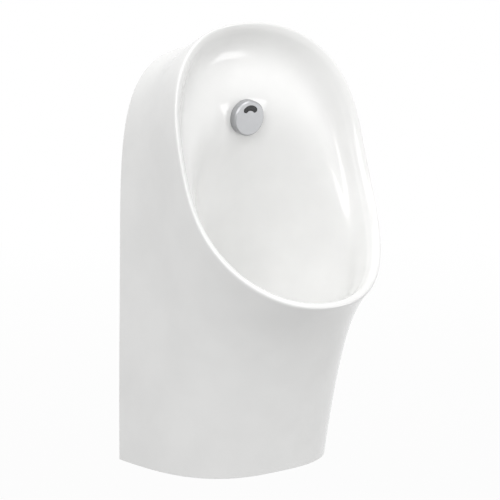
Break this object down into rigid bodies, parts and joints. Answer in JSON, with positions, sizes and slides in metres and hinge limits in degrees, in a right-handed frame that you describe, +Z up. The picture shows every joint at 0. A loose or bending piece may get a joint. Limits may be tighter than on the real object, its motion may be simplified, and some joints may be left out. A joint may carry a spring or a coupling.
{
  "type": "wall hung urinal",
  "caption": "Wall hung urinal: arched china body with an S-shaped rim and deep bowl, round spray head with a sensor window, hidden flush valve and bottle trap.",
  "frame": {"origin": "on the wall plane, midway between the two hanger bolts", "axes": "+X to the user's right, +Y into the wall, +Z up"},
  "size_m": [0.3242, 0.3162, 0.6484],
  "materials": {
    "vitreous_china": "glazed",
    "galvanised_steel": "zinc plated",
    "stainless_steel": "brushed",
    "satin_grey_abs": "satin",
    "smoked_window": "polished",
    "black_rubber": "matt",
    "grey_rubber": "matt",
    "nickel_brass": "nickel plated",
    "bare_brass": "machined",
    "white_polypropylene": "moulded",
    "grey_polypropylene": "moulded",
    "black_polyamide": "moulded",
    "circuit_board": "solder mask",
    "cell_wrap": "film wrapped"
  },
  "bodies": {
    "root": {"ceramic_body": "vitreous_china", "hanger_bracket_left": "galvanised_steel", "hanger_bracket_right": "galvanised_steel", "lower_angle_left": "galvanised_steel", "lower_angle_right": "galvanised_steel", "clamp_screws": "galvanised_steel", "clamp_pads": "black_rubber", "spray_gasket": "black_rubber", "spray_head_body": "grey_polypropylene", "spray_cap": "satin_grey_abs", "sensor_window": "smoked_window", "sensor_board": "circuit_board", "spray_washer": "black_rubber", "spray_nut": "nickel_brass", "spray_elbow": "nickel_brass", "inlet_socket": "bare_brass", "stop_valve_body": "nickel_brass", "filter_screen": "stainless_steel", "packing_nut": "nickel_brass", "supply_pipe": "nickel_brass", "spray_pipe": "nickel_brass", "union_nuts": "nickel_brass", "flush_valve_body": "grey_polypropylene", "diaphragm": "black_rubber", "valve_bonnet": "grey_polypropylene", "valve_coil": "black_polyamide", "plunger_spring": "stainless_steel", "valve_bracket": "galvanised_steel", "control_box": "grey_polypropylene", "control_lid": "grey_polypropylene", "lid_screws": "stainless_steel", "control_board": "circuit_board", "flange_seal": "grey_rubber", "drain_flange": "stainless_steel", "drain_nut": "white_polypropylene", "trap_body": "white_polypropylene", "trap_nut": "white_polypropylene", "outlet_pipe": "white_polypropylene", "outlet_nut": "white_polypropylene", "wall_seal": "grey_rubber", "sensor_lead": "black_rubber", "valve_lead": "black_rubber"},
    "strainer": {"drain_strainer": "stainless_steel"},
    "spindle": {"stop_spindle": "bare_brass"},
    "plunger": {"valve_plunger": "stainless_steel"},
    "battery_drawer": {"battery_tray": "black_polyamide", "battery_cells": "cell_wrap"},
    "cup": {"trap_cup": "white_polypropylene", "cup_seal": "grey_rubber"}
  },
  "joints": [
    {"name": "strainer_lift", "type": "slide", "parent": "root", "child": "strainer", "axis": [0, 0, 1], "range_m": [0, 0.12]},
    {"name": "stop_turn", "type": "hinge", "parent": "root", "child": "spindle", "pos_m": [0.022, -0.034, 0.036], "axis": [1, 0, 0], "range_deg": [0, 90]},
    {"name": "plunger_stroke", "type": "slide", "parent": "root", "child": "plunger", "axis": [0, 0, -1], "range_m": [0, 0.002], "stiffness_N_per_m": 400, "springref_m": -0.003, "deforming": ["plunger_spring"]},
    {"name": "battery_slide", "type": "slide", "parent": "root", "child": "battery_drawer", "axis": [0, 0, -1], "range_m": [0, 0.07]},
    {"name": "cup_drop", "type": "slide", "parent": "root", "child": "cup", "axis": [0, 0, -1], "range_m": [0, 0.06]}
  ]
}
